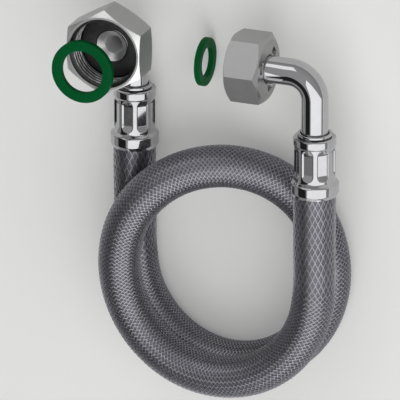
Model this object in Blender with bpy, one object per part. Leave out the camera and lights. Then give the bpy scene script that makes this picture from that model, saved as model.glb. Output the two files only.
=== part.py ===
"""Braided flexible hose with a crimped ferrule, a bent tube and a loose union nut at each end.

It lies on a flat surface in one and a half turns. The origin is on that surface, centred between
the two end fittings; +Y runs from the loop towards the fittings and +Z points up.
"""

import math

import bmesh
import bpy
import numpy as np
from mathutils import Matrix, Vector

MM = 0.001

# Clearances between pieces
GAP = 0.3 * MM
SWIVEL_GAP = 0.45 * MM

# Hose: outer size over the braid and the loop that it lies in
HOSE_RADIUS = 10.0 * MM
LOOP_HALF_WIDTH = 48.4 * MM
LOOP_HALF_HEIGHT = 50.4 * MM
LOOP_TURNS = 1.5
LEFT_LEG = 51.6 * MM
RIGHT_LEG = 47.0 * MM
CORNER_HEIGHT = 58.2 * MM
LEVEL_RUN = 12.0 * MM
POINTS_PER_TURN = 16
RISE_START = 0.57
RISE_END = 0.93
CROSSING_LIFT = 0.8 * MM
ROUTE_SAMPLES = 78

# Bent tube and its flared mouth
TUBE_RADIUS = 6.35 * MM
TUBE_WALL = 1.95 * MM
TUBE_BORE = TUBE_RADIUS - TUBE_WALL
BEND_RADIUS = 12.0 * MM
FLARE_RADIUS = TUBE_RADIUS + 1.35 * MM
FLARE_DEPTH = 2.5 * MM
FLARE_LIP = 0.3 * MM

# Nipple: barbed spigot inside the hose end, with the shoulder that shows above the ferrule
NIPPLE_NECK_WALL = 0.95 * MM
NIPPLE_NECK_RADIUS = TUBE_RADIUS + GAP + NIPPLE_NECK_WALL
NIPPLE_SHOULDER_RADIUS = NIPPLE_NECK_RADIUS + 0.5 * MM
NIPPLE_SHOULDER_HEIGHT = 1.5 * MM
NIPPLE_ROUND = 0.8 * MM
SPIGOT_WALL = 1.6 * MM
SPIGOT_RADIUS = TUBE_BORE + SPIGOT_WALL
BARB_HEIGHT = 0.6 * MM
BARB_COUNT = 4
TUBE_SEAT_DEPTH = 4.0 * MM

# Ferrule: a crimped sleeve with a bead at each end and eight pressed windows between them
FERRULE_LENGTH = 28.6 * MM
FERRULE_WALL = 1.0 * MM
CRIMP_WALL = 0.65 * MM
WINDOW_COUNT = 8
WINDOW_DEPTH = 0.95 * MM
WINDOW_START = 8.7 * MM
WINDOW_RAMP = 2.8 * MM
WINDOW_EDGE_SHARE = 0.14
WINDOW_FLOOR_SHARE = 0.27
LOWER_BEAD_RADIUS = HOSE_RADIUS + GAP + FERRULE_WALL
LOWER_BEAD_START = 1.8 * MM
LOWER_BEAD_END = 5.9 * MM
BODY_RADIUS = NIPPLE_NECK_RADIUS + GAP + CRIMP_WALL + WINDOW_DEPTH
BODY_START = 7.4 * MM
BODY_END = 24.2 * MM
UPPER_BEAD_RADIUS = BODY_RADIUS + 0.5 * MM
UPPER_BEAD_START = 24.8 * MM
UPPER_BEAD_END = 28.1 * MM
TOP_RADIUS = BODY_RADIUS - 0.3 * MM
LIP_WALL = 0.4 * MM
HOSE_ENTRY = 3.0 * MM

# Collar behind the seal, and the union nut that turns on the tube
COLLAR_PLAY = 0.4 * MM
COLLAR_THICKNESS = 3.3 * MM
SOCKET_DEPTH = 11.4 * MM
NUT_LENGTH = 17.0 * MM
NUT_BACK_WALL = NUT_LENGTH - SOCKET_DEPTH - COLLAR_THICKNESS - GAP
CHAMFER_SLOPE = math.tan(math.radians(30.0))
MOUTH_CHAMFER = 0.4 * MM
BACK_CHAMFER = 0.9 * MM
MOUTH_COUNTERSINK = 1.5 * MM
PIT_COUNT = 3
PIT_LENGTH = 3.4 * MM
PIT_WIDTH = 4.0 * MM
PIT_DEPTH = 0.7 * MM
PIT_CENTRE = 9.0 * MM
PIT_TURN = math.radians(109.0)

# The two ends differ in thread: one inch on the left, three quarters of an inch on the right
ENDS = {
    "left": {
        "flats": 36.0 * MM,
        "thread_bore": 15.15 * MM,
        "gasket_outer": 15.0 * MM,
        "gasket_inner": 10.2 * MM,
        "gasket_thickness": 2.8 * MM,
        "arm": 28.4 * MM,
        "hexagon_turn": 0.0,
    },
    "right": {
        "flats": 30.0 * MM,
        "thread_bore": 12.1 * MM,
        "gasket_outer": 11.4 * MM,
        "gasket_inner": 7.2 * MM,
        "gasket_thickness": 2.6 * MM,
        "arm": 28.4 * MM,
        "hexagon_turn": math.radians(30.0),
    },
}

# The left ring lies off centre on the nut's rim, the right ring stands on its edge by its nut
LEFT_GASKET_OFFSET = Vector((-9.2 * MM, -9.3 * MM))
RIGHT_GASKET_CLEAR = 20.5 * MM
RIGHT_GASKET_SIDE = -8.05 * MM

# Facets
SIDES = 24
NUT_SIDES = 48
BEND_STEPS = 8

FLOOR_HEIGHT = HOSE_RADIUS
UPPER_HEIGHT = 3.0 * HOSE_RADIUS + GAP
LEFT_AXIS_HEIGHT = LOWER_BEAD_RADIUS
RIGHT_AXIS_HEIGHT = UPPER_HEIGHT


def clear_scene():
    for ob in list(bpy.data.objects):
        bpy.data.objects.remove(ob, do_unlink=True)


def material(name, colour, roughness, metallic):
    mat = bpy.data.materials.new(name)
    mat.use_nodes = True
    shader = mat.node_tree.nodes["Principled BSDF"]
    shader.inputs["Base Color"].default_value = (*colour, 1.0)
    shader.inputs["Roughness"].default_value = roughness
    shader.inputs["Metallic"].default_value = metallic
    return mat


def make_materials():
    return {
        "braid": material("braided_steel_wire", (0.36, 0.36, 0.37), 0.35, 1.0),
        "chrome": material("chromed_brass", (0.80, 0.80, 0.80), 0.08, 1.0),
        "ferrule": material("pressed_stainless_steel", (0.72, 0.72, 0.72), 0.15, 1.0),
        "nut": material("nickel_plated_brass", (0.50, 0.50, 0.50), 0.3, 1.0),
        "collar": material("blackened_steel", (0.03, 0.03, 0.03), 0.5, 0.6),
        "seal": material("green_fibre", (0.0, 0.09, 0.03), 0.5, 0.0),
        "rubber": material("black_rubber", (0.02, 0.02, 0.02), 0.7, 0.0),
    }


def finish_mesh(name, bm, mat, smooth_angle=35.0):
    """Turn a bmesh into a named object with outward faces and smooth round sides."""
    bmesh.ops.recalc_face_normals(bm, faces=bm.faces[:])
    mesh = bpy.data.meshes.new(name)
    bm.to_mesh(mesh)
    bm.free()
    mesh.materials.append(mat)
    mesh.shade_smooth()
    mesh.set_sharp_from_angle(angle=math.radians(smooth_angle))
    ob = bpy.data.objects.new(name, mesh)
    bpy.context.collection.objects.link(ob)
    return ob


def skin_rings(name, rings, mat):
    """Join a closed series of rings, the last back to the first, into one hollow body."""
    bm = bmesh.new()
    loops = [[bm.verts.new(p) for p in ring] for ring in rings]
    for ring, following in zip(loops, loops[1:] + loops[:1]):
        for i in range(len(ring)):
            j = (i + 1) % len(ring)
            bm.faces.new((ring[i], ring[j], following[j], following[i]))
    return finish_mesh(name, bm, mat)


def turned_ring(radius, height, sides, turn=0.0):
    """A ring of points about the local Z axis, the first at the turn angle."""
    angles = [turn + 2.0 * math.pi * i / sides for i in range(sides)]
    return [(radius * math.cos(a), radius * math.sin(a), height) for a in angles]


def turned(name, profile, mat, sides=SIDES):
    """A hollow turned piece from its closed section, given as (radius, height) points."""
    return skin_rings(name, [turned_ring(r, z, sides) for r, z in profile], mat)


def solid_turned(name, profile, mat, sides, turn=0.0):
    """A turned body without a hole: the section's first and last rings are closed by discs."""
    bm = bmesh.new()
    loops = [[bm.verts.new(p) for p in turned_ring(r, z, sides, turn)] for r, z in profile]
    for ring, following in zip(loops, loops[1:]):
        for i in range(sides):
            j = (i + 1) % sides
            bm.faces.new((ring[i], ring[j], following[j], following[i]))
    bm.faces.new(loops[0])
    bm.faces.new(loops[-1])
    return finish_mesh(name, bm, mat)


def cutter(ob):
    ob.hide_render = True
    ob.display_type = "WIRE"
    return ob


def cut(ob, tool, operation, name):
    modifier = ob.modifiers.new(name, "BOOLEAN")
    modifier.operation = operation
    modifier.object = cutter(tool)


def window_columns():
    """Angles round the ferrule and how deep the pressing is at each: 0 on a rib, 1 on a
    floor. The middle of the first window faces the way that the tube bends."""
    pitch = 2.0 * math.pi / WINDOW_COUNT
    shares = [0.0, WINDOW_EDGE_SHARE, WINDOW_FLOOR_SHARE, 0.5, 1.0 - WINDOW_FLOOR_SHARE, 1.0 - WINDOW_EDGE_SHARE]
    weights = [0.0, 0.0, 1.0, 1.0, 1.0, 0.0]
    angles = [pitch * (k + s - 0.5) for k in range(WINDOW_COUNT) for s in shares]
    return np.array(angles), np.array(weights * WINDOW_COUNT)


def make_ferrule(name, mat):
    """Pressed sleeve: the ring's radius dips at each window by the depth times both weights."""
    angles, across = window_columns()
    outer = [
        (HOSE_RADIUS + GAP + LIP_WALL, 0.0, 0.0),
        (LOWER_BEAD_RADIUS, LOWER_BEAD_START, 0.0),
        (LOWER_BEAD_RADIUS, LOWER_BEAD_END, 0.0),
        (BODY_RADIUS, BODY_START, 0.0),
        (BODY_RADIUS, WINDOW_START, 0.0),
        (BODY_RADIUS, WINDOW_START + 0.4 * WINDOW_RAMP, 0.55),
        (BODY_RADIUS, WINDOW_START + WINDOW_RAMP, 1.0),
        (BODY_RADIUS, BODY_END - WINDOW_RAMP, 1.0),
        (BODY_RADIUS, BODY_END - 0.4 * WINDOW_RAMP, 0.55),
        (BODY_RADIUS, BODY_END, 0.0),
        (UPPER_BEAD_RADIUS, UPPER_BEAD_START, 0.0),
        (UPPER_BEAD_RADIUS, UPPER_BEAD_END, 0.0),
        (TOP_RADIUS, FERRULE_LENGTH, 0.0),
    ]
    crimp = NIPPLE_NECK_RADIUS + GAP
    inner = [
        (crimp, FERRULE_LENGTH),
        (crimp, BODY_START + GAP),
        (HOSE_RADIUS + GAP, LOWER_BEAD_END - GAP),
        (HOSE_RADIUS + GAP, 0.0),
    ]
    rings = []
    for radius, height, along in outer:
        radii = radius - WINDOW_DEPTH * along * across
        rings.append([(r * math.cos(a), r * math.sin(a), height) for r, a in zip(radii, angles)])
    for radius, height in inner:
        rings.append([(radius * math.cos(a), radius * math.sin(a), height) for a in angles])
    return skin_rings(name, rings, mat)


def make_hose_end(name, mat):
    """The hose's own end, squeezed between the ferrule and the barbs."""
    bore = SPIGOT_RADIUS + BARB_HEIGHT + GAP
    start = HOSE_ENTRY + GAP
    profile = [
        (bore, start),
        (HOSE_RADIUS, start),
        (HOSE_RADIUS, LOWER_BEAD_END - 2.0 * GAP),
        (NIPPLE_NECK_RADIUS, BODY_START),
        (NIPPLE_NECK_RADIUS, neck_bottom() - GAP),
        (bore, neck_bottom() - GAP),
    ]
    return turned(name, profile, mat)


def neck_bottom():
    return FERRULE_LENGTH - TUBE_SEAT_DEPTH - GAP


def make_nipple(name, mat):
    """Shoulder and neck that hold the tube, and a spigot with saw-tooth barbs below them."""
    shoulder = FERRULE_LENGTH + GAP
    top = shoulder + NIPPLE_SHOULDER_HEIGHT
    seat = neck_bottom() + 0.5 * MM
    profile = [
        (TUBE_RADIUS + GAP, top),
        (NIPPLE_SHOULDER_RADIUS - NIPPLE_ROUND, top),
        (NIPPLE_SHOULDER_RADIUS, top - NIPPLE_ROUND),
        (NIPPLE_SHOULDER_RADIUS, shoulder),
        (NIPPLE_NECK_RADIUS, shoulder),
        (NIPPLE_NECK_RADIUS, neck_bottom()),
    ]
    tip = HOSE_ENTRY + 2.0 * GAP
    pitch = (neck_bottom() - tip) / (BARB_COUNT + 1)
    for k in range(BARB_COUNT):
        crest = neck_bottom() - (k + 1) * pitch
        profile.append((SPIGOT_RADIUS, crest + 0.1 * pitch))
        profile.append((SPIGOT_RADIUS + BARB_HEIGHT, crest))
        profile.append((SPIGOT_RADIUS, crest - 0.7 * pitch))
    profile.insert(6, (SPIGOT_RADIUS, neck_bottom()))
    profile += [
        (SPIGOT_RADIUS, tip),
        (TUBE_BORE, tip),
        (TUBE_BORE, seat),
        (TUBE_RADIUS + GAP, seat),
    ]
    return turned(name, profile, mat)


def tube_station(distance, straight, arm):
    """Point and two cross directions at a distance along the leg, the quarter bend and the arm."""
    arc = BEND_RADIUS * math.pi / 2.0
    if distance <= straight:
        angle = 0.0
        centre = Vector((0.0, 0.0, CORNER_HEIGHT - BEND_RADIUS - straight + distance))
    elif distance <= straight + arc:
        angle = (distance - straight) / BEND_RADIUS
        centre = Vector(
            (
                BEND_RADIUS * (1.0 - math.cos(angle)),
                0.0,
                CORNER_HEIGHT - BEND_RADIUS + BEND_RADIUS * math.sin(angle),
            )
        )
    else:
        angle = math.pi / 2.0
        centre = Vector((BEND_RADIUS + distance - straight - arc, 0.0, CORNER_HEIGHT))
    across = Vector((math.cos(angle), 0.0, -math.sin(angle)))
    return centre, across, Vector((0.0, 1.0, 0.0))


def make_elbow(name, arm, mat):
    """Bent tube: its closed section of (radius, distance) points is carried along the bend."""
    foot = neck_bottom() + 0.5 * MM + GAP
    straight = CORNER_HEIGHT - BEND_RADIUS - foot
    arc = BEND_RADIUS * math.pi / 2.0
    mouth = straight + arc + arm - BEND_RADIUS
    bend = [straight + arc * k / BEND_STEPS for k in range(BEND_STEPS + 1)]
    section = [(TUBE_RADIUS, 0.0)]
    section += [(TUBE_RADIUS, d) for d in bend]
    section += [
        (TUBE_RADIUS, mouth - FLARE_DEPTH),
        (FLARE_RADIUS, mouth),
        (FLARE_RADIUS - FLARE_LIP, mouth),
        (TUBE_BORE, mouth - FLARE_DEPTH),
    ]
    section += [(TUBE_BORE, d) for d in reversed(bend)]
    section += [(TUBE_BORE, 0.0)]
    rings = []
    for radius, distance in section:
        centre, across, side = tube_station(distance, straight, arm)
        ring = []
        for i in range(SIDES):
            angle = 2.0 * math.pi * i / SIDES
            ring.append(centre + radius * (math.cos(angle) * across + math.sin(angle) * side))
        rings.append(ring)
    return skin_rings(name, rings, mat)


def make_collar(name, radius, mat):
    """Flat ring whose countersunk hole follows the tube's flare; its face is at height zero."""
    hole = TUBE_RADIUS + SWIVEL_GAP
    edge = 0.3 * MM
    profile = [
        (hole, -COLLAR_THICKNESS),
        (radius - edge, -COLLAR_THICKNESS),
        (radius, -COLLAR_THICKNESS + edge),
        (radius, -edge),
        (radius - edge, 0.0),
        (FLARE_RADIUS + SWIVEL_GAP, 0.0),
        (hole, -FLARE_DEPTH),
    ]
    return turned(name, profile, mat, 32)


def make_gasket(name, end, mat):
    outer, inner, thickness = end["gasket_outer"], end["gasket_inner"], end["gasket_thickness"]
    edge = 0.25 * MM
    profile = [
        (inner, 0.0),
        (outer - edge, 0.0),
        (outer, edge),
        (outer, thickness - edge),
        (outer - edge, thickness),
        (inner, thickness),
    ]
    return turned(name, profile, mat, 40)


def make_nut(name, end, mat):
    """Hexagon bar cut by a chamfering cone at each end, bored for the tube and the thread."""
    back = SOCKET_DEPTH - NUT_LENGTH
    half = end["flats"] / 2.0
    corner = half / math.cos(math.pi / 6.0)
    nut = solid_turned(name, [(corner, back), (corner, SOCKET_DEPTH)], mat, 6, end["hexagon_turn"])
    wide = corner + 1.0 * MM
    mouth_flat = half - MOUTH_CHAMFER
    back_flat = half - BACK_CHAMFER
    envelope = solid_turned(
        name + "_chamfer_tool",
        [
            (back_flat, back),
            (wide, back + (wide - back_flat) * CHAMFER_SLOPE),
            (wide, SOCKET_DEPTH - (wide - mouth_flat) * CHAMFER_SLOPE),
            (mouth_flat, SOCKET_DEPTH),
        ],
        mat,
        NUT_SIDES,
    )
    bore = end["thread_bore"]
    hole = TUBE_RADIUS + SWIVEL_GAP
    reach = 1.0 * MM
    drill = solid_turned(
        name + "_bore_tool",
        [
            (hole, back - reach),
            (hole, back + NUT_BACK_WALL),
            (bore, back + NUT_BACK_WALL),
            (bore, SOCKET_DEPTH - MOUTH_COUNTERSINK),
            (bore + MOUTH_COUNTERSINK, SOCKET_DEPTH),
            (bore + MOUTH_COUNTERSINK, SOCKET_DEPTH + reach),
        ],
        mat,
        NUT_SIDES,
    )
    pits = make_pits(name + "_pit_tool", back, mat)
    cut(nut, envelope, "INTERSECT", "chamfers")
    cut(nut, drill, "DIFFERENCE", "bore")
    cut(nut, pits, "DIFFERENCE", "pits")
    return [nut, envelope, drill, pits]


def make_pits(name, back, mat):
    """Small rectangular pressings in the nut's back face, spaced evenly round the tube."""
    bm = bmesh.new()
    for k in range(PIT_COUNT):
        turn = Matrix.Rotation(PIT_TURN + 2.0 * math.pi * k / PIT_COUNT, 4, "Z")
        place = Matrix.Translation((PIT_CENTRE, 0.0, back))
        size = Matrix.Diagonal((PIT_LENGTH, PIT_WIDTH, 2.0 * PIT_DEPTH, 1.0))
        bmesh.ops.create_cube(bm, size=1.0, matrix=turn @ place @ size)
    return finish_mesh(name, bm, mat)


def smoothstep(share):
    share = min(max(share, 0.0), 1.0)
    return share * share * (3.0 - 2.0 * share)


def route_points():
    """The way the hose lies: flat for half a turn, over its own leg, then on its first turn."""
    points = [
        (-LOOP_HALF_WIDTH, LEFT_LEG + HOSE_ENTRY, LEFT_AXIS_HEIGHT),
        (-LOOP_HALF_WIDTH, LEFT_LEG - LEVEL_RUN, LEFT_AXIS_HEIGHT),
        (-LOOP_HALF_WIDTH, 0.3 * LEFT_LEG, FLOOR_HEIGHT + 0.3 * (LEFT_AXIS_HEIGHT - FLOOR_HEIGHT)),
    ]
    count = round(LOOP_TURNS * POINTS_PER_TURN)
    for k in range(count + 1):
        turns = k / POINTS_PER_TURN
        angle = 2.0 * math.pi * turns
        rise = smoothstep((turns - RISE_START) / (RISE_END - RISE_START))
        hump = math.exp(-(((turns - RISE_END) / 0.12) ** 2))
        height = FLOOR_HEIGHT + rise * (UPPER_HEIGHT - FLOOR_HEIGHT) + hump * CROSSING_LIFT
        points.append((-LOOP_HALF_WIDTH * math.cos(angle), -LOOP_HALF_HEIGHT * math.sin(angle), height))
    points += [
        (LOOP_HALF_WIDTH, 0.4 * RIGHT_LEG, RIGHT_AXIS_HEIGHT),
        (LOOP_HALF_WIDTH, RIGHT_LEG - LEVEL_RUN, RIGHT_AXIS_HEIGHT),
        (LOOP_HALF_WIDTH, RIGHT_LEG + HOSE_ENTRY, RIGHT_AXIS_HEIGHT),
    ]
    return np.array(points)


def smooth_samples(points, count):
    """Catmull-Rom curve through the points, read at equal steps along its length."""
    before = 2.0 * points[0] - points[1]
    after = 2.0 * points[-1] - points[-2]
    padded = np.vstack([before, points, after])
    knots = np.concatenate([[0.0], np.cumsum(np.sqrt(np.linalg.norm(np.diff(padded, axis=0), axis=1)))])
    fine = []
    for i in range(1, len(padded) - 2):
        t0, t1, t2, t3 = knots[i - 1 : i + 3]
        p0, p1, p2, p3 = padded[i - 1 : i + 3]
        t = np.linspace(t1, t2, 24, endpoint=False)[:, None]
        a1 = (t1 - t) / (t1 - t0) * p0 + (t - t0) / (t1 - t0) * p1
        a2 = (t2 - t) / (t2 - t1) * p1 + (t - t1) / (t2 - t1) * p2
        a3 = (t3 - t) / (t3 - t2) * p2 + (t - t2) / (t3 - t2) * p3
        b1 = (t2 - t) / (t2 - t0) * a1 + (t - t0) / (t2 - t0) * a2
        b2 = (t3 - t) / (t3 - t1) * a2 + (t - t1) / (t3 - t1) * a3
        fine.append((t2 - t) / (t2 - t1) * b1 + (t - t1) / (t2 - t1) * b2)
    fine = np.vstack(fine + [points[-1:]])
    along = np.concatenate([[0.0], np.cumsum(np.linalg.norm(np.diff(fine, axis=0), axis=1))])
    steps = np.linspace(0.0, along[-1], count)
    return np.column_stack([np.interp(steps, along, fine[:, k]) for k in range(3)])


def make_hose(mat):
    curve = bpy.data.curves.new("hose", "CURVE")
    curve.dimensions = "3D"
    curve.twist_mode = "Z_UP"
    curve.bevel_depth = HOSE_RADIUS
    curve.bevel_resolution = 4
    curve.use_fill_caps = True
    samples = smooth_samples(route_points(), ROUTE_SAMPLES)
    samples[:, 2] = np.maximum(samples[:, 2], FLOOR_HEIGHT)
    spline = curve.splines.new("POLY")
    spline.points.add(len(samples) - 1)
    for point, place in zip(spline.points, samples):
        point.co = (*place, 1.0)
    curve.materials.append(mat)
    ob = bpy.data.objects.new("hose", curve)
    bpy.context.collection.objects.link(ob)
    return ob


def empty(name, parent, matrix):
    ob = bpy.data.objects.new(name, None)
    bpy.context.collection.objects.link(ob)
    ob.parent = parent
    ob.matrix_local = matrix
    return ob


def frame_matrix(place, x_axis, z_axis):
    """A local frame at a place, from where its X and Z axes point."""
    y_axis = z_axis.cross(x_axis)
    turn = Matrix((x_axis, y_axis, z_axis)).transposed().to_4x4()
    return Matrix.Translation(place) @ turn


def make_end(side, root, place, arm_axis, mats):
    """One end: ferrule, hose end, nipple and tube along the leg, collar and nut along the arm."""
    end = ENDS[side]
    leg = empty(side + "_leg", root, frame_matrix(place, arm_axis, Vector((0.0, 1.0, 0.0))))
    on_leg = [
        make_ferrule("ferrule_" + side, mats["ferrule"]),
        make_hose_end("hose_end_" + side, mats["rubber"]),
        make_nipple("nipple_" + side, mats["chrome"]),
        make_elbow("elbow_tube_" + side, end["arm"], mats["chrome"]),
    ]
    for ob in on_leg:
        ob.parent = leg
    along_arm = frame_matrix(
        Vector((end["arm"], 0.0, CORNER_HEIGHT)), Vector((0.0, 0.0, -1.0)), Vector((1.0, 0.0, 0.0))
    )
    face = empty(side + "_sealing_face", leg, along_arm)
    collar = make_collar("collar_" + side, end["thread_bore"] - COLLAR_PLAY, mats["collar"])
    collar.parent = face
    for ob in make_nut("union_nut_" + side, end, mats["nut"]):
        ob.parent = face
    return face


def place_gaskets(root, left_face, mats):
    left = ENDS["left"]
    ring = make_gasket("gasket_left", left, mats["seal"])
    ring.parent = root
    ring.location = (
        -LOOP_HALF_WIDTH + LEFT_GASKET_OFFSET.x,
        LEFT_LEG + CORNER_HEIGHT + LEFT_GASKET_OFFSET.y,
        LEFT_AXIS_HEIGHT + left["arm"] + SOCKET_DEPTH + GAP,
    )
    right = ENDS["right"]
    ring = make_gasket("gasket_right", right, mats["seal"])
    ring.parent = root
    ring.location = (
        LOOP_HALF_WIDTH - right["arm"] - SOCKET_DEPTH - RIGHT_GASKET_CLEAR,
        RIGHT_LEG + CORNER_HEIGHT + RIGHT_GASKET_SIDE,
        right["gasket_outer"],
    )
    ring.rotation_euler = (0.0, -math.pi / 2.0, 0.0)


def centre_on_fittings(root):
    """Move the whole so that the fittings' footprint is centred on the origin."""
    bpy.context.view_layer.update()
    corners = []
    for ob in bpy.data.objects:
        if ob.type == "MESH" and not ob.hide_render:
            corners += [ob.matrix_world @ v.co for v in ob.data.vertices]
    xy = np.array([(c.x, c.y) for c in corners])
    middle = (xy.min(axis=0) + xy.max(axis=0)) / 2.0
    root.location = (-middle[0], -middle[1], 0.0)


def main():
    clear_scene()
    mats = make_materials()
    root = empty("hose_assembly", None, Matrix.Identity(4))
    make_hose(mats["braid"]).parent = root
    left_place = Vector((-LOOP_HALF_WIDTH, LEFT_LEG, LEFT_AXIS_HEIGHT))
    right_place = Vector((LOOP_HALF_WIDTH, RIGHT_LEG, RIGHT_AXIS_HEIGHT))
    left_face = make_end("left", root, left_place, Vector((0.0, 0.0, 1.0)), mats)
    make_end("right", root, right_place, Vector((-1.0, 0.0, 0.0)), mats)
    place_gaskets(root, left_face, mats)
    centre_on_fittings(root)


main()
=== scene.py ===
"""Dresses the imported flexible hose: wire braid, polished fittings, threaded nuts and sealing rings.

Laid out as a Blender add-on. Every size is in metres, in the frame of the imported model.
"""

import math

import bpy
import numpy as np
from bpy.props import FloatProperty, FloatVectorProperty, IntProperty, PointerProperty
from mathutils import Matrix, Vector


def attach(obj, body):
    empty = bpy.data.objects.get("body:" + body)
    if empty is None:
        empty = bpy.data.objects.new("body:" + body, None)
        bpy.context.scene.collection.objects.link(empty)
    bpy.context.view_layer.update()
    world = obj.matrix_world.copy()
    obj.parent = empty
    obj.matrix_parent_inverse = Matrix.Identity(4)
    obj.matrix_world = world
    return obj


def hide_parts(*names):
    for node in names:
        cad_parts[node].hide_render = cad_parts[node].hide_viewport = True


bl_info = {
    "name": "Braided connecting hose",
    "version": (1, 0, 0),
    "blender": (4, 5, 0),
    "location": "3D View > Sidebar > Hose",
    "description": "Builds a braided hose with crimped ferrules, bent tubes, union nuts and seals",
    "category": "Add Mesh",
}

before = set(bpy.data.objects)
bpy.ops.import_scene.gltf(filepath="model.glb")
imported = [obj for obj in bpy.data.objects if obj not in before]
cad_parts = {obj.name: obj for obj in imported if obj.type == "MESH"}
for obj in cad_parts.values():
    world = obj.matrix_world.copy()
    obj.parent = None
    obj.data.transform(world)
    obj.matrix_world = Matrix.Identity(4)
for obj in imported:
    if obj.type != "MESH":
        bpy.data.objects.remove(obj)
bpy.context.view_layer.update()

MM = 0.001
FULL_TURN = 2.0 * math.pi

# Where the loop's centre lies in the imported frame
LOOP_CENTRE = np.array((0.00645, -0.08879, 0.0))

# How far the tube's flare and the collar's countersink reach behind the tube's mouth
FLARE_DEPTH = 0.0025

# Soft boxes: place, width and height, and power in watts
SOFT_BOXES = {
    "overhead": ((0.62, -0.50, 0.94), (1.6, 1.85), 10.8),
    "rear": ((-0.42, 0.95, 0.84), (0.9, 0.60), 1.75),
    "front": ((0.10, -1.30, 0.70), (1.1, 0.6), 1.4),
}

# The two ends: place of the ferrule's lower rim, direction of the bent arm, and thread sizes
ENDS = {
    "left": {
        "place": (-0.04195, -0.03719, 0.0113),
        "arm_axis": (0.0, 0.0, 1.0),
        "arm": 0.0284,
        "flats": 0.0360,
        "thread_minor": 0.01515,
        "thread_major": 0.01662,
        "pitch": 0.002309,
        "collar": 0.01475,
        "hexagon_turn": 0.0,
        "gasket": (0.0150, 0.0102, 0.0028),
        "gasket_place": (-0.05115, 0.01171, 0.0514),
        "gasket_turn": 0.0,
    },
    "right": {
        "place": (0.05485, -0.04179, 0.0303),
        "arm_axis": (-1.0, 0.0, 0.0),
        "arm": 0.0284,
        "flats": 0.0300,
        "thread_minor": 0.0121,
        "thread_major": 0.01322,
        "pitch": 0.001814,
        "collar": 0.0117,
        "hexagon_turn": math.radians(30.0),
        "gasket": (0.0114, 0.0072, 0.0026),
        "gasket_place": (-0.00545, 0.00836, 0.0114),
        "gasket_turn": -0.5 * math.pi,
    },
}


def length_property(name, description, default):
    return FloatProperty(name=name, description=description, default=default, unit="LENGTH", precision=5)


def colour_property(name, description, default):
    return FloatVectorProperty(
        name=name,
        description=description,
        default=[linear_channel(int(default[i : i + 2], 16)) for i in (1, 3, 5)],
        subtype="COLOR",
        size=3,
        min=0.0,
        max=1.0,
    )


def linear_channel(value):
    """One sRGB channel, 0 to 255, as the linear value that the shaders use."""
    share = value / 255.0
    return share / 12.92 if share <= 0.04045 else ((share + 0.055) / 1.055) ** 2.4


class HoseSizes(bpy.types.PropertyGroup):
    """Sizes of the hose and its braid."""

    radius: length_property("Radius", "Outer radius over the braid", 0.010)
    ground_radius: length_property("Ground radius", "Radius of the woven ground under the wires", 0.00945)
    loop_half_width: length_property("Loop half width", "Half the loop's width, at the centreline", 0.0484)
    loop_half_height: length_property("Loop half height", "Half the loop's height, at the centreline", 0.0504)
    left_leg: length_property("Left leg", "Straight run up to the left ferrule", 0.0516)
    right_leg: length_property("Right leg", "Straight run up to the right ferrule", 0.0470)
    entry: length_property("Entry", "How far the hose goes into each ferrule", 0.003)
    total: length_property("Length", "Length of hose from one ferrule to the other", 0.568)
    strands: IntProperty(name="Strands", description="Wire strands wound in each direction", default=24)
    strand_width: length_property("Strand width", "Width of one wire strand", 0.00058)
    weave_height: length_property("Weave height", "How far a strand rises and sinks", 0.00016)
    leg_cell: length_property("Leg cell", "Length of a braid diamond on the legs", 0.0055)
    loop_cell: length_property("Loop cell", "Length of a braid diamond on the loop", 0.0020)


class FittingSizes(bpy.types.PropertyGroup):
    """Sizes of the ferrules, tubes, collars, nuts and seals."""

    ferrule_length: length_property("Ferrule length", "Length of the crimped sleeve", 0.0286)
    lower_bead: length_property("Lower bead", "Radius of the ferrule's lower bead", 0.0113)
    body: length_property("Body", "Radius of the ferrule between its beads", 0.0095)
    upper_bead: length_property("Upper bead", "Radius of the ferrule's upper bead", 0.010)
    dents: IntProperty(name="Dents", description="Pressed dents round the ferrule", default=8)
    dent_depth: length_property("Dent depth", "Depth of each pressed dent at its middle", 0.0011)
    dent_half_width: length_property("Dent half width", "Half the width of a dent", 0.0029)
    dent_half_length: length_property("Dent half length", "Half the length of a dent", 0.00775)
    tube_radius: length_property("Tube radius", "Outer radius of the bent tube", 0.00635)
    tube_bore: length_property("Tube bore", "Inner radius of the bent tube", 0.0044)
    bend_radius: length_property("Bend radius", "Radius of the tube's bend", 0.012)
    corner_height: length_property("Corner height", "Ferrule's rim to the arm's axis", 0.0582)
    flare_radius: length_property("Flare radius", "Radius of the tube's flared mouth", 0.0077)
    collar_thickness: length_property("Collar thickness", "Thickness of the collar", 0.0033)
    socket_depth: length_property("Socket depth", "Depth of the nut in front of the collar", 0.0114)
    nut_length: length_property("Nut length", "Length of each union nut", 0.017)


class Finishes(bpy.types.PropertyGroup):
    """Colours of the finishes."""

    wire: colour_property("Wire", "Stainless wire strands", "#a09fa5")
    # Darker than the wire: painted shade of the wires that lie below the strands.
    ground: colour_property("Ground", "Woven ground between the strands", "#68676e")
    chrome: colour_property("Chrome", "Polished chrome plate", "#b8b8ba")
    pressed: colour_property("Pressed steel", "Bright pressed stainless steel", "#b6b6b8")
    nickel: colour_property("Nickel", "Satin nickel plate", "#a2a2a2")
    # Dark steel used as painted shade and painted dark reflection on the collar's face and in the nut's
    # thread.
    black: colour_property("Dark steel for painted shade", "Dark colour painted in for shade and dark reflection", "#434343")
    seal: colour_property("Seal", "Green fibre", "#005428")
    rubber: colour_property("Rubber", "Black rubber", "#1a1a1b")
    floor: colour_property("Floor", "Pale floor", "#e6e6e4")


def sizes():
    return bpy.context.scene.hose_sizes, bpy.context.scene.fitting_sizes


# Materials


def add(tree, kind, inputs=None, **fields):
    """Add one node, set its fields, and give each named input a value or another node's socket."""
    node = tree.nodes.new(kind)
    for field, value in fields.items():
        setattr(node, field, value)
    for key, value in (inputs or {}).items():
        if isinstance(value, bpy.types.NodeSocket):
            tree.links.new(value, node.inputs[key])
        else:
            node.inputs[key].default_value = value
    return node


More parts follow.
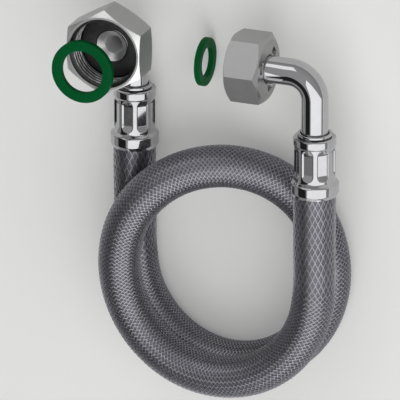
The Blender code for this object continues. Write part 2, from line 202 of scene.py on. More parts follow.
def new_material(name):
    """An empty node material and its Principled shader."""
    mat = bpy.data.materials.new(name)
    mat.use_nodes = True
    tree = mat.node_tree
    tree.nodes.clear()
    shader = add(tree, "ShaderNodeBsdfPrincipled")
    add(tree, "ShaderNodeOutputMaterial", {"Surface": shader.outputs["BSDF"]})
    return mat, tree, shader


def shade(colour, factor):
    return (*[min(1.0, c * factor) for c in colour], 1.0)


def spread(tree, factor, low, high):
    """A number between low and high, led by a texture's value."""
    return add(
        tree,
        "ShaderNodeMapRange",
        {"Value": factor, "From Min": 0.3, "From Max": 0.7, "To Min": low, "To Max": high},
    ).outputs["Result"]


def fade(tree, value, start, stop, first, last):
    """A number that goes from first to last as the value goes from start to stop."""
    return add(
        tree,
        "ShaderNodeMapRange",
        {"Value": value, "From Min": start, "From Max": stop, "To Min": first, "To Max": last},
    ).outputs["Result"]


def calculate(tree, operation, *values):
    """The result of one Math node on numbers or sockets."""
    return add(tree, "ShaderNodeMath", dict(enumerate(values)), operation=operation).outputs[0]


def bump(tree, height, distance, strength=1.0):
    return add(
        tree, "ShaderNodeBump", {"Height": height, "Distance": distance, "Strength": strength}
    ).outputs["Normal"]


def object_point(tree, scale=(1.0, 1.0, 1.0)):
    place = add(tree, "ShaderNodeTexCoord").outputs["Object"]
    return add(tree, "ShaderNodeMapping", {"Vector": place, "Scale": scale}).outputs["Vector"]


def surface_point(tree, scale=(1.0, 1.0, 1.0)):
    place = add(tree, "ShaderNodeTexCoord").outputs["UV"]
    return add(tree, "ShaderNodeMapping", {"Vector": place, "Scale": scale}).outputs["Vector"]


def noise(tree, point, size, detail=3.0):
    """Noise whose grains are about that size in metres."""
    return add(
        tree, "ShaderNodeTexNoise", {"Vector": point, "Scale": 1.0 / size, "Detail": detail}
    ).outputs["Fac"]


def two_tone(tree, factor, colour, low, high):
    """The colour, darker and lighter by the two factors as the texture goes from low to high."""
    return add(
        tree,
        "ShaderNodeMix",
        {0: spread(tree, factor, 0.0, 1.0), 6: shade(colour, low), 7: shade(colour, high)},
        data_type="RGBA",
    ).outputs[2]


def chrome_plate(finish):
    """Bright chrome on brass: mirror-like, with faint polishing haze and the plate's slight waviness."""
    mat, tree, shader = new_material("polished_chrome_plate")
    point = object_point(tree)
    shader.inputs["Metallic"].default_value = 1.0
    haze = noise(tree, point, 6 * MM)
    tree.links.new(two_tone(tree, haze, finish.chrome, 0.95, 1.0), shader.inputs["Base Color"])
    tree.links.new(spread(tree, noise(tree, point, 2.5 * MM, 5.0), 0.03, 0.07), shader.inputs["Roughness"])
    tree.links.new(bump(tree, noise(tree, point, 4 * MM, 1.0), 0.02 * MM, 0.5), shader.inputs["Normal"])
    return mat


def drawn_bore_painted_light(finish):
    """Unplated inside of the tube: light grey and dull, with fine lines along it from drawing. Its colour is
    the nickel's raised about twofold, painted light that keeps the shaded bore pale.
    """
    mat, tree, shader = new_material("drawn_tube_bore_painted_light")
    lines = noise(tree, surface_point(tree, (0.03, 1.0, 1.0)), 0.3 * MM, 4.0)
    shader.inputs["Metallic"].default_value = 0.1
    # Painted light: the nickel's colour raised 1.9 to 2.3 times.
    tree.links.new(two_tone(tree, lines, finish.nickel, 1.9, 2.3), shader.inputs["Base Color"])
    tree.links.new(spread(tree, lines, 0.40, 0.55), shader.inputs["Roughness"])
    return mat


def pressed_steel(finish):
    """Pressed stainless sleeve: bright, with fine drawing lines along it and a little more haze."""
    mat, tree, shader = new_material("pressed_stainless_steel")
    lines = noise(tree, surface_point(tree, (0.04, 1.0, 1.0)), 0.25 * MM, 4.0)
    haze = noise(tree, object_point(tree), 3 * MM, 4.0)
    shader.inputs["Metallic"].default_value = 1.0
    tree.links.new(two_tone(tree, haze, finish.pressed, 0.93, 1.0), shader.inputs["Base Color"])
    tree.links.new(spread(tree, haze, 0.05, 0.10), shader.inputs["Roughness"])
    tree.links.new(bump(tree, lines, 0.004 * MM, 0.6), shader.inputs["Normal"])
    return mat


def satin_nickel(finish):
    """Nickel-plated brass from hexagon bar: satin, with a fine blasted grain and soft clouding."""
    mat, tree, shader = new_material("satin_nickel_plate")
    point = object_point(tree)
    grain = noise(tree, point, 0.22 * MM, 3.0)
    cloud = noise(tree, point, 5 * MM, 3.0)
    shader.inputs["Metallic"].default_value = 1.0
    tree.links.new(two_tone(tree, cloud, finish.nickel, 0.965, 1.02), shader.inputs["Base Color"])
    tree.links.new(spread(tree, cloud, 0.30, 0.33), shader.inputs["Roughness"])
    tree.links.new(bump(tree, grain, 0.016 * MM, 0.6), shader.inputs["Normal"])
    return mat


def turned_nickel_painted_highlight(finish):
    """Chamfers, rims and cones with the lathe's rings, in a copy of the nickel about twice as bright as the
    flats: a painted highlight.
    """
    mat, tree, shader = new_material("turned_nickel_plate_painted_highlight")
    rings = noise(tree, surface_point(tree, (1.0, 0.02, 1.0)), 0.25 * MM, 2.0)
    shader.inputs["Metallic"].default_value = 1.0
    # Painted highlight: the nickel's colour raised 1.9 to 2.05 times.
    tree.links.new(two_tone(tree, rings, finish.nickel, 1.9, 2.05), shader.inputs["Base Color"])
    tree.links.new(spread(tree, rings, 0.32, 0.37), shader.inputs["Roughness"])
    tree.links.new(bump(tree, rings, 0.006 * MM, 0.5), shader.inputs["Normal"])
    return mat


def dark_steel_painted_shade(finish):
    """Dark steel painted in for shade and dark reflection on the collar's face and the nut's thread entrance
    and roots: low in gloss, with the lathe's rings across it.
    """
    mat, tree, shader = new_material("painted_shade_dark_steel")
    rings = noise(tree, surface_point(tree, (1.0, 0.02, 1.0)), 0.3 * MM, 2.0)
    cloud = noise(tree, object_point(tree), 2 * MM, 4.0)
    shader.inputs["Metallic"].default_value = 0.6
    tree.links.new(two_tone(tree, cloud, finish.black, 0.85, 1.25), shader.inputs["Base Color"])
    tree.links.new(spread(tree, rings, 0.38, 0.55), shader.inputs["Roughness"])
    tree.links.new(bump(tree, rings, 0.01 * MM, 0.5), shader.inputs["Normal"])
    return mat


def green_fibre(finish):
    """Compressed fibre sealing sheet: matt green with short pale fibres and a rough cut edge."""
    mat, tree, shader = new_material("green_fibre_sheet")
    fibres = noise(tree, object_point(tree, (1.0, 2.6, 1.0)), 0.5 * MM, 5.0)
    cloud = noise(tree, object_point(tree), 4 * MM, 3.0)
    tree.links.new(two_tone(tree, fibres, finish.seal, 0.8, 1.22), shader.inputs["Base Color"])
    tree.links.new(spread(tree, cloud, 0.42, 0.58), shader.inputs["Roughness"])
    tree.links.new(bump(tree, fibres, 0.03 * MM, 0.5), shader.inputs["Normal"])
    shader.inputs["IOR"].default_value = 1.5
    shader.inputs["Specular IOR Level"].default_value = 0.06
    return mat


def black_rubber(finish):
    """Extruded rubber tube: black, matt, with a fine skin grain."""
    mat, tree, shader = new_material("black_rubber")
    grain = noise(tree, object_point(tree), 0.4 * MM, 4.0)
    tree.links.new(two_tone(tree, grain, finish.rubber, 0.85, 1.2), shader.inputs["Base Color"])
    tree.links.new(bump(tree, grain, 0.02 * MM, 0.5), shader.inputs["Normal"])
    shader.inputs["Roughness"].default_value = 0.65
    shader.inputs["IOR"].default_value = 1.52
    return mat


def wire_strand(finish):
    """Stainless wire: three fine wires lie side by side in a strand, which gives it fine lines."""
    mat, tree, shader = new_material("stainless_wire")
    wire_pitch = 0.25 * MM
    wires = add(
        tree,
        "ShaderNodeTexWave",
        {"Vector": surface_point(tree), "Scale": math.pi / 20.0 / wire_pitch, "Distortion": 0.0},
        wave_type="BANDS",
        bands_direction="Y",
    ).outputs["Fac"]
    cloud = noise(tree, object_point(tree), 1.5 * MM, 3.0)
    shader.inputs["Metallic"].default_value = 1.0
    tree.links.new(two_tone(tree, cloud, finish.wire, 0.86, 1.08), shader.inputs["Base Color"])
    tree.links.new(spread(tree, cloud, 0.34, 0.44), shader.inputs["Roughness"])
    tree.links.new(bump(tree, wires, 0.03 * MM, 0.4), shader.inputs["Normal"])
    shader.inputs["Sheen Weight"].default_value = 1.0
    shader.inputs["Sheen Roughness"].default_value = 0.18
    return mat


def woven_ground_painted_shade(finish):
    """The wires that lie below, woven finely across one another, in steel darker and less metallic than the
    strands: painted shade for the shadow they lie in.
    """
    mat, tree, shader = new_material("woven_steel_ground_painted_shade")
    weave = noise(tree, surface_point(tree), 0.5 * MM)
    cloud = noise(tree, object_point(tree), 8 * MM, 3.0)
    shader.inputs["Metallic"].default_value = 0.8
    tree.links.new(two_tone(tree, cloud, finish.ground, 0.9, 1.08), shader.inputs["Base Color"])
    tree.links.new(spread(tree, weave, 0.34, 0.5), shader.inputs["Roughness"])
    tree.links.new(bump(tree, weave, 0.05 * MM, 0.5), shader.inputs["Normal"])
    shader.inputs["Sheen Weight"].default_value = 0.8
    shader.inputs["Sheen Roughness"].default_value = 0.18
    return mat


def matt_floor(finish):
    """Pale matt painted board, with a barely visible mottle, a little paler as it is seen or mirrored."""
    mat, tree, shader = new_material("pale_matt_board")
    mottle = noise(tree, object_point(tree), 60 * MM, 2.0)
    tree.links.new(two_tone(tree, mottle, finish.floor, 0.985, 1.0), shader.inputs["Base Color"])
    shader.inputs["Roughness"].default_value = 0.8
    rays = add(tree, "ShaderNodeLightPath").outputs
    seen = calculate(tree, "MAXIMUM", rays["Is Camera Ray"], rays["Is Glossy Ray"])
    shader.inputs["Emission Color"].default_value = (1.0, 1.0, 1.0, 1.0)
    tree.links.new(fade(tree, seen, 0.0, 1.0, 0.0, 0.11), shader.inputs["Emission Strength"])
    return mat


MAKERS = {
    "chrome": chrome_plate,
    # The bore's raised colour is painted light.
    "bore": drawn_bore_painted_light,
    "pressed": pressed_steel,
    "nickel": satin_nickel,
    # A brighter copy of the nickel: painted highlight.
    "turned": turned_nickel_painted_highlight,
    # Dark steel: painted shade and painted dark reflection.
    "black": dark_steel_painted_shade,
    "seal": green_fibre,
    "rubber": black_rubber,
    "wire": wire_strand,
    # Darker steel under the strands: painted shade.
    "ground": woven_ground_painted_shade,
    "floor": matt_floor,
}
MADE = {}


def material(kind):
    if kind not in MADE:
        MADE[kind] = MAKERS[kind](bpy.context.scene.hose_finishes)
    return MADE[kind]


# Surfaces


def smoothstep(share):
    share = np.clip(share, 0.0, 1.0)
    return share * share * (3.0 - 2.0 * share)


def surface(name, points, kind, along, around, ring=True, sharp=30.0):
    """A mesh object from grids of points, of shape (grids, rows, columns, 3).

    Columns always close on themselves. Rows close too when ring is true, and are capped at both
    ends when it isn't. along and around are the surface lengths that the UV map takes for rows and
    columns. The volume, one sixth of the sum of the corner triple products, is made positive.
    """
    grids, rows, columns, _ = points.shape
    grid = np.arange(grids)[:, None, None] * rows * columns
    row = np.arange(rows if ring else rows - 1)[None, :, None]
    column = np.arange(columns)[None, None, :]
    following = (row + 1) % rows
    beside = (column + 1) % columns
    corners = [(row, column), (row, beside), (following, beside), (following, column)]
    quads = np.stack([grid + r * columns + c for r, c in corners], axis=-1).reshape(-1, 4)
    flat = points.reshape(-1, 3)
    a, b, c, d = (flat[quads[:, i]] for i in range(4))
    volume = (a * np.cross(b, c)).sum() + (a * np.cross(c, d)).sum()
    uv_rows = [row, row, row + 1, row + 1]
    uv_columns = [column, column + 1, column + 1, column]
    shape = (grids, row.shape[1], columns)
    uv = np.stack(
        [
            np.stack([np.broadcast_to(along[r], shape), np.broadcast_to(around[c], shape)], axis=-1)
            for r, c in zip(uv_rows, uv_columns)
        ],
        axis=-2,
    ).reshape(-1, 4, 2)
    loops = [quads]
    corner_counts = [np.full(len(quads), 4)]
    uvs = [uv]
    if not ring:
        first = (grid[:, 0, :] + np.arange(columns)[None, ::-1]).reshape(-1, columns)
        last = (grid[:, 0, :] + (rows - 1) * columns + np.arange(columns)[None, :]).reshape(-1, columns)
        for cap in (first, last):
            loops.append(cap)
            corner_counts.append(np.full(len(cap), columns))
            uvs.append(np.zeros((len(cap), columns, 2)))
    if volume < 0.0:
        loops = [block[:, ::-1] for block in loops]
        uvs = [block[:, ::-1] for block in uvs]
    totals = np.concatenate(corner_counts)
    mesh = bpy.data.meshes.new(name)
    mesh.vertices.add(len(flat))
    mesh.vertices.foreach_set("co", flat.astype(np.float32).ravel())
    mesh.loops.add(int(totals.sum()))
    corner_points = np.concatenate([block.ravel() for block in loops])
    mesh.loops.foreach_set("vertex_index", corner_points.astype(np.int32))
    mesh.polygons.add(len(totals))
    mesh.polygons.foreach_set("loop_start", (np.cumsum(totals) - totals).astype(np.int32))
    mesh.update(calc_edges=True)
    layer = mesh.uv_layers.new(name="surface")
    corner_uvs = np.concatenate([block.reshape(-1, 2) for block in uvs])
    layer.data.foreach_set("uv", corner_uvs.astype(np.float32).ravel())
    mesh.validate()
    mesh.shade_smooth()
    if sharp:
        mesh.set_sharp_from_angle(angle=math.radians(sharp))
    mesh.materials.append(material(kind))
    ob = bpy.data.objects.new(name, mesh)
    bpy.context.collection.objects.link(ob)
    return ob


def second_finish(ob, chosen, kind):
    """Give the chosen faces of a surface made from one grid another material.

    chosen says yes or no for each row and column, or has one column that speaks for its whole row.
    """
    ob.data.materials.append(material(kind))
    index = np.zeros(len(ob.data.polygons), dtype=np.int32)
    ob.data.polygons.foreach_get("material_index", index)
    chosen = np.broadcast_to(chosen, (len(chosen), len(index) // len(chosen))).ravel()
    index[chosen] = len(ob.data.materials) - 1
    ob.data.polygons.foreach_set("material_index", index)


def rounded(section, radius, steps=5):
    """A closed section with each corner replaced by a short curve.

    The curve is (1-t)^2 A + 2t(1-t) P + t^2 B, from A before the corner P to B after it, each the
    radius away from P, or less than half the side where a side is short.
    """
    corner = np.array(section)
    before = np.roll(corner, 1, axis=0) - corner
    after = np.roll(corner, -1, axis=0) - corner
    ends = []
    for side in (before, after):
        size = np.linalg.norm(side, axis=1, keepdims=True)
        ends.append(corner + side / size * np.minimum(radius, 0.45 * size))
    t = np.linspace(0.0, 1.0, steps)[None, :, None]
    start, peak, stop = ends[0][:, None], corner[:, None], ends[1][:, None]
    return ((1 - t) ** 2 * start + 2 * t * (1 - t) * peak + t**2 * stop).reshape(-1, 2)


def turned_points(section, sides):
    """Carry a section of (radius, height) round the axis: x = r cos a, y = r sin a, z = height."""
    angle = np.linspace(0.0, FULL_TURN, sides, endpoint=False)[None, :]
    radius, height = section[:, 0:1], section[:, 1:2]
    return np.stack([radius * np.cos(angle), radius * np.sin(angle), height + 0.0 * angle], axis=-1)


def moved(points, matrix):
    """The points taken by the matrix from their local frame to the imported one."""
    matrix = np.array(matrix)
    return points @ matrix[:3, :3].T + matrix[:3, 3]


def running_sum(steps):
    """Zero, then the sum of the steps up to and with each one."""
    return np.concatenate([[0.0], np.cumsum(steps)])


def section_length(section):
    """Distance along a closed section to each of its points, and back to the first."""
    closed = np.vstack([section, section[:1]])
    return running_sum(np.linalg.norm(np.diff(closed, axis=0), axis=1))


def turned_piece(name, section, sides, matrix, kind, sharp=30.0):
    points = moved(turned_points(section, sides), matrix)[None]
    around = np.linspace(0.0, FULL_TURN * section[:, 0].max(), sides + 1)
    return surface(name, points, kind, section_length(section), around, True, sharp)


def leg_matrix(end):
    """Local frame of one end: Z out along the leg from the ferrule's rim, X along the bent arm."""
    z_axis = Vector((0.0, 1.0, 0.0))
    x_axis = Vector(end["arm_axis"])
    turn = Matrix((x_axis, z_axis.cross(x_axis), z_axis)).transposed().to_4x4()
    return Matrix.Translation(end["place"]) @ turn


def face_matrix(end, fitting):
    """Local frame on the collar's face: Z out along the arm, X back along the leg."""
    x_axis, z_axis = Vector((0.0, 0.0, -1.0)), Vector((1.0, 0.0, 0.0))
    turn = Matrix((x_axis, z_axis.cross(x_axis), z_axis)).transposed().to_4x4()
    return leg_matrix(end) @ Matrix.Translation((end["arm"], 0.0, fitting.corner_height)) @ turn


# Hose


def route_points(hose):
    """The way the hose lies: flat for half a turn, over its own leg, then on its first turn."""
    left_height, floor_height, upper_height = 0.0113, 0.010, 0.0303
    straight_end = 0.012
    rise_start, rise_turns = 0.57, 0.36
    hump_height, hump_turn, hump_turns = 0.0008, 0.93, 0.12
    half_width, half_height = hose.loop_half_width, hose.loop_half_height
    points = [
        (-half_width, hose.left_leg + hose.entry, left_height),
        (-half_width, hose.left_leg - straight_end, left_height),
        (-half_width, 0.3 * hose.left_leg, floor_height + 0.3 * (left_height - floor_height)),
    ]
    turns = np.arange(25) / 16.0
    angle = FULL_TURN * turns
    rise = smoothstep((turns - rise_start) / rise_turns)
    hump = hump_height * np.exp(-(((turns - hump_turn) / hump_turns) ** 2))
    height = floor_height + rise * (upper_height - floor_height) + hump
    loop = np.column_stack([-half_width * np.cos(angle), -half_height * np.sin(angle), height])
    ending = [
        (half_width, 0.4 * hose.right_leg, upper_height),
        (half_width, hose.right_leg - straight_end, upper_height),
        (half_width, hose.right_leg + hose.entry, upper_height),
    ]
    return np.vstack([points, loop, ending]) + LOOP_CENTRE


def centreline(hose):
    """Catmull-Rom curve through the route's points, read every half millimetre or so.

    Each span blends straight lines through four points by their distances' square roots.
    """
    points = route_points(hose)
    padded = np.vstack([2.0 * points[0] - points[1], points, 2.0 * points[-1] - points[-2]])
    knots = running_sum(np.sqrt(np.linalg.norm(np.diff(padded, axis=0), axis=1)))
    spans = []
    for i in range(1, len(padded) - 2):
        t0, t1, t2, t3 = knots[i - 1 : i + 3]
        p0, p1, p2, p3 = padded[i - 1 : i + 3]
        t = np.linspace(t1, t2, 48, endpoint=False)[:, None]
        a1 = (t1 - t) / (t1 - t0) * p0 + (t - t0) / (t1 - t0) * p1
        a2 = (t2 - t) / (t2 - t1) * p1 + (t - t1) / (t2 - t1) * p2
        a3 = (t3 - t) / (t3 - t2) * p2 + (t - t2) / (t3 - t2) * p3
        b1 = (t2 - t) / (t2 - t0) * a1 + (t - t0) / (t2 - t0) * a2
        b2 = (t3 - t) / (t3 - t1) * a2 + (t - t1) / (t3 - t1) * a3
        spans.append((t2 - t) / (t2 - t1) * b1 + (t - t1) / (t2 - t1) * b2)
    line = np.vstack(spans + [points[-1:]])
    line[:, 2] = np.maximum(line[:, 2], hose.radius)
    along = running_sum(np.linalg.norm(np.diff(line, axis=0), axis=1))
    steps = np.linspace(0.0, along[-1], 1200)
    return np.column_stack([np.interp(steps, along, line[:, k]) for k in range(3)]), steps


def line_frames(line, steps, at):
    """Centre, forward, sideways and upward directions of the hose at the given distances."""
    centre = np.column_stack([np.interp(at, steps, line[:, k]) for k in range(3)])
    slope = np.gradient(line, steps, axis=0)
    forward = np.column_stack([np.interp(at, steps, slope[:, k]) for k in range(3)])
    forward /= np.linalg.norm(forward, axis=1, keepdims=True)
    side = np.cross(forward, (0.0, 0.0, 1.0))
    side /= np.linalg.norm(side, axis=1, keepdims=True)
    return centre, forward, side, np.cross(side, forward)


def hose_ground(hose, line, steps):
    """Round ground under the wires: centre + radius (side cos a + up sin a) along the hose."""
    at = np.linspace(0.0, steps[-1], 460)
    centre, _, side, up = line_frames(line, steps, at)
    angle = np.linspace(0.0, FULL_TURN, 48, endpoint=False)[None, :, None]
    outward = side[:, None] * np.cos(angle) + up[:, None] * np.sin(angle)
    points = centre[:, None] + hose.ground_radius * outward
    around = np.linspace(0.0, FULL_TURN * hose.ground_radius, 49)
    return surface("hose_ground", points[None], "ground", at, around, False, 40.0)


def braid_turning(hose, steps):
    """How far the strands have wound round the hose at each distance, in radians.

    One diamond of the braid takes one strand spacing of turning, so the rate is the spacing over
    the diamond's length, long on the straight legs and short on the loop.
    """
    start = hose.left_leg + hose.entry
    stop = steps[-1] - hose.right_leg - hose.entry
    lead, blend = 0.006, 0.016
    on_loop = smoothstep((steps - start + lead) / blend) * smoothstep((stop + lead - steps) / blend)
    rate = (1.0 - on_loop) / hose.leg_cell + on_loop / hose.loop_cell
    rate *= FULL_TURN / hose.strands
    return running_sum(0.5 * (rate[1:] + rate[:-1]) * np.diff(steps)), rate


def braid(hose, line, steps, way, name):
    """Strands wound one way round the hose, over and under those wound the other way.

    Strand k lies at angle k times the spacing plus or minus the turning. It rises and sinks by the
    cosine of the turning times the number of strands, so it is up where the others are down. Its
    section is a low ribbon with a flat top, a little inside the hose's radius, and a sunk foot.
    """
    turning, rate = braid_turning(hose, steps)
    spacing = FULL_TURN / hose.strands
    count = int(turning[-1] / spacing * 4.0)
    wound = np.linspace(0.0, turning[-1], count)
    at = np.interp(wound, turning, steps)
    centre, forward, side, up = line_frames(line, steps, at)
    angle = (np.arange(hose.strands)[:, None] * spacing + way * wound[None, :])[..., None]
    outward = side * np.cos(angle) + up * np.sin(angle)
    round_way = up * np.cos(angle) - side * np.sin(angle)
    slope = (way * hose.radius * np.interp(at, steps, rate))[None, :, None]
    across = (round_way - slope * forward) / np.sqrt(1.0 + slope**2)
    weave = (way * hose.weave_height * np.cos(wound * hose.strands))[None, :, None]
    play, sunk = 0.00002, 0.0001
    top = hose.radius - hose.weave_height - play
    low = hose.ground_radius - sunk
    half = 0.5 * hose.strand_width
    section = ((low, -half), (top, -0.6 * half), (top, 0.6 * half), (low, half))
    corners = [centre + outward * (height + weave) + across * aside for height, aside in section]
    points = np.stack(corners, axis=2)
    around = np.array((0.0, 0.3, 0.9, 1.2, 2.2)) * hose.strand_width
    return surface(name, points, "wire", at, around, False, 40.0)


# Fittings


def ferrule(name, fitting, matrix):
    """Crimped sleeve: radius over the length less the depth of the dents.

    A dent's floor is flat: its radius is the floor's distance from the axis over the cosine of the
    angle from its middle. The smaller of two ramps, one in from its rounded outline and one in
    from its ends, takes the body's radius down to it, so the sides are steep and the ends slope.
    """
    knots = np.array(
        [
            (0.0, 0.0106),
            (0.0008, 0.0109),
            (0.0016, fitting.lower_bead),
            (0.0059, fitting.lower_bead),
            (0.0063, fitting.lower_bead - 0.0003),
            (0.0074, fitting.body),
            (0.0242, fitting.body),
            (0.0248, fitting.upper_bead),
            (0.0281, fitting.upper_bead),
            (0.0284, 0.0097),
            (0.0286, 0.0092),
        ]
    )
    dents_middle, side_width, end_width = 0.0164, 0.5 * MM, 2.8 * MM
    height = np.linspace(0.0, fitting.ferrule_length, 144)
    radius = np.interp(height, knots[:, 0], knots[:, 1])
    radius[1:-1] = 0.25 * radius[:-2] + 0.5 * radius[1:-1] + 0.25 * radius[2:]
    pitch = FULL_TURN * fitting.body / fitting.dents
    half = np.array((0.0, 0.7, 1.4, 1.9, 2.2, 2.35, 2.5, 2.65, 2.8, 2.9, 3.05, 3.4)) * MM
    across = np.concatenate([-half[:0:-1], half])
    columns = np.concatenate([across + pitch * k for k in range(fitting.dents)])
    away = np.tile(across, fitting.dents)[None, :]
    angle = (columns / fitting.body)[None, :]
    middle = height[:, None] - dents_middle
    straight = fitting.dent_half_length - fitting.dent_half_width
    outline = np.sqrt(away**2 + np.maximum(np.abs(middle) - straight, 0.0) ** 2)
    side_ramp = (fitting.dent_half_width - outline) / side_width
    end_ramp = (fitting.dent_half_length - np.abs(middle)) / end_width
    floor = fitting.body - (fitting.body - fitting.dent_depth) / np.cos(away / fitting.body)
    depth = floor * np.clip(np.minimum(side_ramp, end_ramp), 0.0, 1.0)
    outer = radius[:, None] - depth
    inner = np.array([(0.0079, 0.0286), (0.0079, 0.0077), (0.0103, 0.0056), (0.0103, 0.0)])
    radii = np.vstack([outer, np.repeat(inner[:, 0:1], len(columns), axis=1)])
    heights = np.concatenate([height, inner[:, 1]])[:, None]
    points = np.stack([radii * np.cos(angle), radii * np.sin(angle), heights + 0.0 * angle], axis=-1)
    along = section_length(np.column_stack([radii[:, 0], heights[:, 0]]))
    around = np.concatenate([columns, [columns[0] + FULL_TURN * fitting.body]])
    return surface(name, moved(points, matrix)[None], "pressed", along, around, True, 24.0)


def nipple(name, fitting, matrix):
    """Turned insert: rounded shoulder above the ferrule, neck inside it and barbs below."""
    neck, tip = 0.0243, 0.0036
    top, shoulder_foot, seat = 0.0304, 0.0289, neck + 0.0005
    hole, shoulder, body, stem, barb = 0.00665, 0.0081, 0.0076, 0.0060, 0.0066
    pitch = (neck - tip) / 5.0
    section = [(hole, top), (shoulder, top), (shoulder, shoulder_foot), (body, shoulder_foot)]
    section += [(body, neck), (stem, neck)]
    for k in range(4):
        crest = neck - (k + 1) * pitch
        section += [(stem, crest + 0.1 * pitch), (barb, crest), (stem, crest - 0.7 * pitch)]
    section += [(stem, tip), (fitting.tube_bore, tip), (fitting.tube_bore, seat), (hole, seat)]
    return turned_piece(name, rounded(section, 0.6 * MM, 6), 72, matrix, "chrome")


def bent_tube(name, end, fitting, matrix):
    """Tube carried up the leg, round a quarter circle and out along the arm to its flared mouth.

    At a distance d the centre is straight up, then on the circle, then straight out; the section
    turns with it: centre + radius (across cos a + side sin a). The mouth's cone gets a copy of the
    nickel about twice as bright, a painted highlight, and the bore behind it a drawn finish whose
    colour is raised far above the nickel's, painted light.
    """
    foot = 0.0251
    edge = 0.0002
    straight = fitting.corner_height - fitting.bend_radius - foot
    arc = fitting.bend_radius * math.pi / 2.0
    mouth = straight + arc + end["arm"] - fitting.bend_radius
    bend = np.linspace(straight, straight + arc, 33)
    outside = [(fitting.tube_radius - edge, 0.0), (fitting.tube_radius, edge)]
    outside += [(fitting.tube_radius, d) for d in bend]
    flare = np.linspace(0.0, 1.0, 8)
    rise = smoothstep(flare) * 0.5 + flare * 0.5
    flared = fitting.tube_radius + (fitting.flare_radius - fitting.tube_radius) * rise
    lip = fitting.flare_radius - 0.00035
    cone = lip + (fitting.tube_bore - lip) * flare
    section = np.vstack(
        [
            outside,
            np.column_stack([flared, mouth - FLARE_DEPTH + (FLARE_DEPTH - edge) * flare]),
            [(fitting.flare_radius - 0.5 * edge, mouth)],
            np.column_stack([cone, mouth - FLARE_DEPTH * flare]),
            [(fitting.tube_bore, d) for d in bend[::-1]],
            [(fitting.tube_bore, 0.0)],
        ]
    )
    distance = section[:, 1]
    turn = np.clip((distance - straight) / fitting.bend_radius, 0.0, math.pi / 2.0)
    before = np.minimum(distance - straight, 0.0)
    after = np.maximum(distance - straight - arc, 0.0)
    centre = np.column_stack(
        [
            fitting.bend_radius * (1.0 - np.cos(turn)) + after,
            0.0 * distance,
            fitting.corner_height - fitting.bend_radius + fitting.bend_radius * np.sin(turn) + before,
        ]
    )
    across = np.column_stack([np.cos(turn), 0.0 * turn, -np.sin(turn)])
    angle = np.linspace(0.0, FULL_TURN, 56, endpoint=False)[None, :, None]
    side = np.array((0.0, 1.0, 0.0))
    radius = section[:, 0][:, None, None]
    points = centre[:, None] + radius * (across[:, None] * np.cos(angle) + side * np.sin(angle))
    around = np.linspace(0.0, FULL_TURN * fitting.tube_radius, 57)
    points = moved(points, matrix)[None]
    tube = surface(name, points, "chrome", section_length(section), around)
    row = np.arange(len(section))[:, None]
    bore_start = len(section) - len(bend) - 2
    # Painted highlight: the mouth's cone gets the brighter turned copy of the nickel.
    second_finish(tube, row > bore_start - len(flare), "turned")
    # Painted light: the bore gets the nickel's colour raised about twofold, so it reads pale though little
    # light reaches it.
    second_finish(tube, row >= bore_start, "bore")
    return tube


def collar(name, end, fitting, matrix):
    """Turned ring whose countersunk hole follows the tube's flare."""
    radius = end["collar"]
    hole = 0.0068
    section = [
        (hole, -fitting.collar_thickness),
        (radius, -fitting.collar_thickness),
        (radius, 0.0),
        (fitting.flare_radius + 0.00045, 0.0),
        (hole, -FLARE_DEPTH),
    ]
    # Painted shade and dark reflection: the collar is given dark steel so that its face reads dark inside the
    # nut.
    return turned_piece(name, rounded(section, 0.3 * MM), 96, matrix, "black")


def gasket(name, end):
    """Flat ring cut from sheet, with slightly broken edges."""
    outer, inner, thick = end["gasket"]
    section = [(inner, 0.0), (outer, 0.0), (outer, thick), (inner, thick)]
    matrix = Matrix.Translation(end["gasket_place"]) @ Matrix.Rotation(end["gasket_turn"], 4, "Y")
    return turned_piece(name, rounded(section, 0.3 * MM), 96, matrix, "seal")


def pressed_marks(radius, angle):
    """Depth of the three marks pressed in a nut's back, one in each third of the turn.

    With a from the nearest mark's middle, a mark is as deep as it gets where radius cos a is
    within its half length of its place and radius sin a within its half width of zero. Narrow
    ramps go round it.
    """
    place, half_length, half_width = 0.0094, 0.0016, 0.0026
    depth, ramp = 0.0015, 0.00015
    third = FULL_TURN / 3.0
    turn = np.mod(angle - math.radians(109.0) + 0.5 * third, third) - 0.5 * third
    inside = np.clip((half_length - np.abs(radius * np.cos(turn) - place)) / ramp, 0.0, 1.0)
    inside *= np.clip((half_width - np.abs(radius * np.sin(turn))) / ramp, 0.0, 1.0)
    return depth * inside


